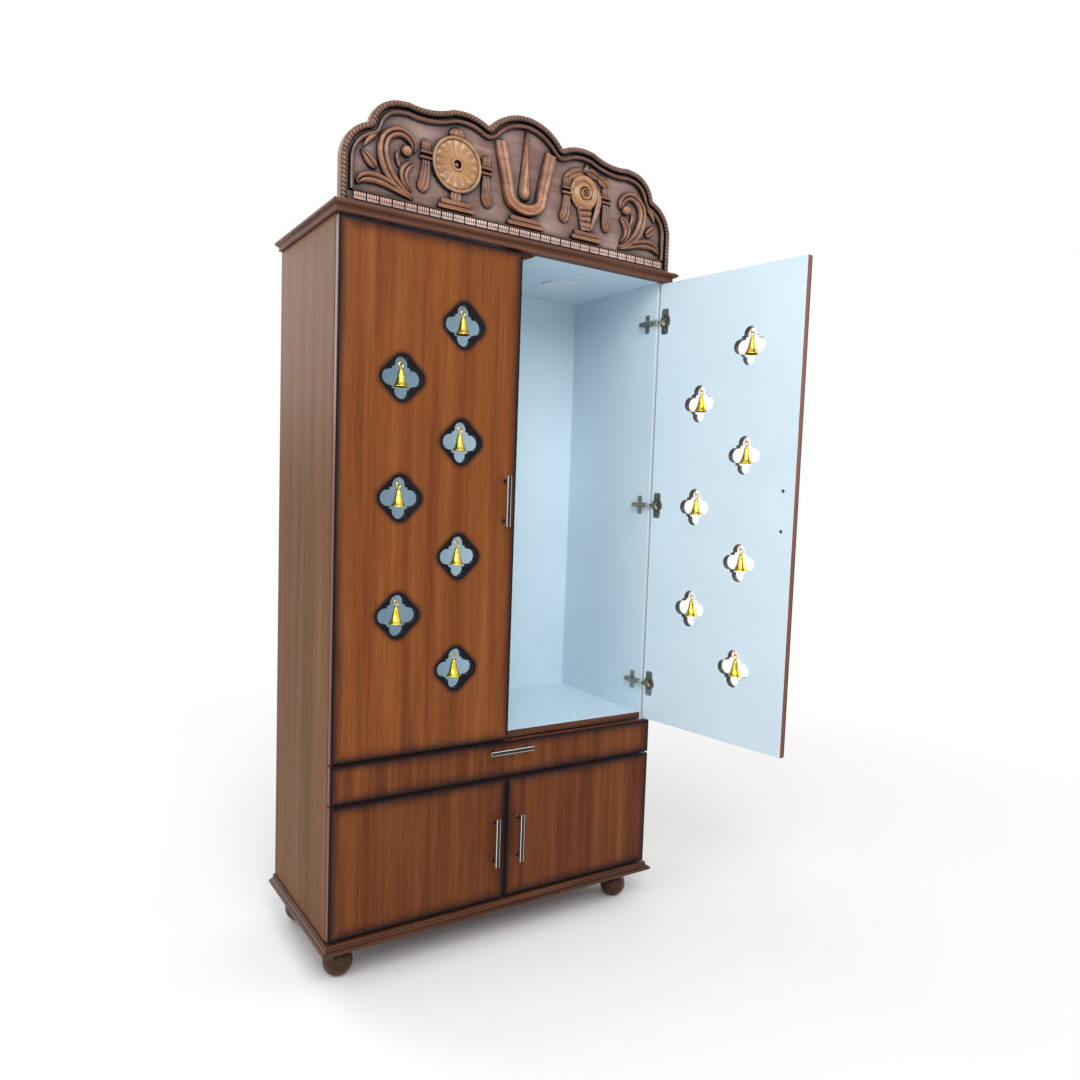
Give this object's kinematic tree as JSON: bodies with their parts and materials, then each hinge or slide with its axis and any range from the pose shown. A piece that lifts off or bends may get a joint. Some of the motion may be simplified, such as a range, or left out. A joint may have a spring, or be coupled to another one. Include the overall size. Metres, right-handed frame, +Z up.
{
  "type": "pooja mandir cabinet",
  "caption": "Tall home shrine cabinet with a carved crest, bell-hung doors, a drawer and a lower cupboard on ball feet.",
  "frame": {"origin": "on the floor under the front left foot", "axes": "+X to the right seen from the front, +Y to the back, +Z up"},
  "size_m": [1.006, 0.846, 2.01],
  "materials": {
    "stained_wood": "satin, stained and lacquered",
    "carved_wood": "satin, glazed dark in the carving",
    "white_laminate": "smooth laminate on board",
    "brass": "polished",
    "hinge_steel": "nickel plated",
    "handle_steel": "polished",
    "light_plastic": "opal"
  },
  "bodies": {
    "cabinet": {"left_side_panel": "stained_wood", "right_side_panel": "stained_wood", "back_panel": "white_laminate", "cornice_board": "stained_wood", "base_board": "stained_wood", "shrine_shelf": "white_laminate", "drawer_deck": "white_laminate", "ball_feet": "stained_wood", "ceiling_lights": "light_plastic", "door_stop": "stained_wood", "crest_board": "carved_wood", "crest_rim": "carved_wood", "crest_scrolls": "carved_wood", "crest_wheel": "carved_wood", "crest_centre_mark": "carved_wood", "crest_conch": "carved_wood", "tall_hinge_arms": "hinge_steel", "lower_hinge_arms": "hinge_steel", "drawer_runners": "hinge_steel"},
    "left_tall_door": {"left_tall_door": "stained_wood", "left_tall_handle": "handle_steel", "left_tall_hinge_cups": "hinge_steel", "left_bell_hooks": "brass"},
    "right_tall_door": {"right_tall_door": "stained_wood", "right_tall_handle": "handle_steel", "right_tall_hinge_cups": "hinge_steel", "right_bell_hooks": "brass"},
    "lower_left_door": {"lower_left_door": "stained_wood", "lower_left_handle": "handle_steel", "lower_left_hinge_cups": "hinge_steel"},
    "lower_right_door": {"lower_right_door": "stained_wood", "lower_right_handle": "handle_steel", "lower_right_hinge_cups": "hinge_steel"},
    "drawer": {"drawer_front": "stained_wood", "drawer_handle": "handle_steel", "drawer_box": "white_laminate", "drawer_bottom": "white_laminate", "drawer_slides": "hinge_steel"},
    "left_bell_1": {"left_bell_1": "brass"},
    "left_bell_2": {"left_bell_2": "brass"},
    "left_bell_3": {"left_bell_3": "brass"},
    "left_bell_4": {"left_bell_4": "brass"},
    "left_bell_5": {"left_bell_5": "brass"},
    "left_bell_6": {"left_bell_6": "brass"},
    "left_bell_7": {"left_bell_7": "brass"},
    "right_bell_1": {"right_bell_1": "brass"},
    "right_bell_2": {"right_bell_2": "brass"},
    "right_bell_3": {"right_bell_3": "brass"},
    "right_bell_4": {"right_bell_4": "brass"},
    "right_bell_5": {"right_bell_5": "brass"},
    "right_bell_6": {"right_bell_6": "brass"},
    "right_bell_7": {"right_bell_7": "brass"}
  },
  "joints": [
    {"name": "door_tall_left", "type": "hinge", "parent": "cabinet", "child": "left_tall_door", "pos_m": [-0.0435, -0.061, 1.109], "axis": [0, 0, -1], "range_deg": [0, 100]},
    {"name": "door_tall_right", "type": "hinge", "parent": "cabinet", "child": "right_tall_door", "pos_m": [0.8455, -0.061, 1.109], "axis": [0, 0, 1], "range_deg": [-98, 2]},
    {"name": "door_lower_left", "type": "hinge", "parent": "cabinet", "child": "lower_left_door", "pos_m": [-0.0435, -0.061, 0.27], "axis": [0, 0, -1], "range_deg": [0, 100]},
    {"name": "door_lower_right", "type": "hinge", "parent": "cabinet", "child": "lower_right_door", "pos_m": [0.8455, -0.061, 0.27], "axis": [0, 0, 1], "range_deg": [0, 100]},
    {"name": "drawer_slide", "type": "slide", "parent": "cabinet", "child": "drawer", "axis": [0, -1, 0], "range_m": [0, 0.3]},
    {"name": "swing_left_bell_1", "type": "hinge", "parent": "left_tall_door", "child": "left_bell_1", "pos_m": [0.249, -0.061, 1.5382], "axis": [1, 0, 0], "range_deg": [-20, 20]},
    {"name": "swing_left_bell_2", "type": "hinge", "parent": "left_tall_door", "child": "left_bell_2", "pos_m": [0.1, -0.061, 1.4057], "axis": [1, 0, 0], "range_deg": [-20, 20]},
    {"name": "swing_left_bell_3", "type": "hinge", "parent": "left_tall_door", "child": "left_bell_3", "pos_m": [0.249, -0.061, 1.2732], "axis": [1, 0, 0], "range_deg": [-20, 20]},
    {"name": "swing_left_bell_4", "type": "hinge", "parent": "left_tall_door", "child": "left_bell_4", "pos_m": [0.1, -0.061, 1.1407], "axis": [1, 0, 0], "range_deg": [-20, 20]},
    {"name": "swing_left_bell_5", "type": "hinge", "parent": "left_tall_door", "child": "left_bell_5", "pos_m": [0.249, -0.061, 1.0082], "axis": [1, 0, 0], "range_deg": [-20, 20]},
    {"name": "swing_left_bell_6", "type": "hinge", "parent": "left_tall_door", "child": "left_bell_6", "pos_m": [0.1, -0.061, 0.8757], "axis": [1, 0, 0], "range_deg": [-20, 20]},
    {"name": "swing_left_bell_7", "type": "hinge", "parent": "left_tall_door", "child": "left_bell_7", "pos_m": [0.249, -0.061, 0.7432], "axis": [1, 0, 0], "range_deg": [-20, 20]},
    {"name": "swing_right_bell_1", "type": "hinge", "parent": "right_tall_door", "child": "right_bell_1", "pos_m": [0.88621, -0.35065, 1.5382], "axis": [-0.1392, 0.9903, 0], "range_deg": [-20, 20]},
    {"name": "swing_right_bell_2", "type": "hinge", "parent": "right_tall_door", "child": "right_bell_2", "pos_m": [0.86547, -0.2031, 1.4057], "axis": [-0.1392, 0.9903, 0], "range_deg": [-20, 20]},
    {"name": "swing_right_bell_3", "type": "hinge", "parent": "right_tall_door", "child": "right_bell_3", "pos_m": [0.88621, -0.35065, 1.2732], "axis": [-0.1392, 0.9903, 0], "range_deg": [-20, 20]},
    {"name": "swing_right_bell_4", "type": "hinge", "parent": "right_tall_door", "child": "right_bell_4", "pos_m": [0.86547, -0.2031, 1.1407], "axis": [-0.1392, 0.9903, 0], "range_deg": [-20, 20]},
    {"name": "swing_right_bell_5", "type": "hinge", "parent": "right_tall_door", "child": "right_bell_5", "pos_m": [0.88621, -0.35065, 1.0082], "axis": [-0.1392, 0.9903, 0], "range_deg": [-20, 20]},
    {"name": "swing_right_bell_6", "type": "hinge", "parent": "right_tall_door", "child": "right_bell_6", "pos_m": [0.86547, -0.2031, 0.8757], "axis": [-0.1392, 0.9903, 0], "range_deg": [-20, 20]},
    {"name": "swing_right_bell_7", "type": "hinge", "parent": "right_tall_door", "child": "right_bell_7", "pos_m": [0.88621, -0.35065, 0.7432], "axis": [-0.1392, 0.9903, 0], "range_deg": [-20, 20]}
  ]
}
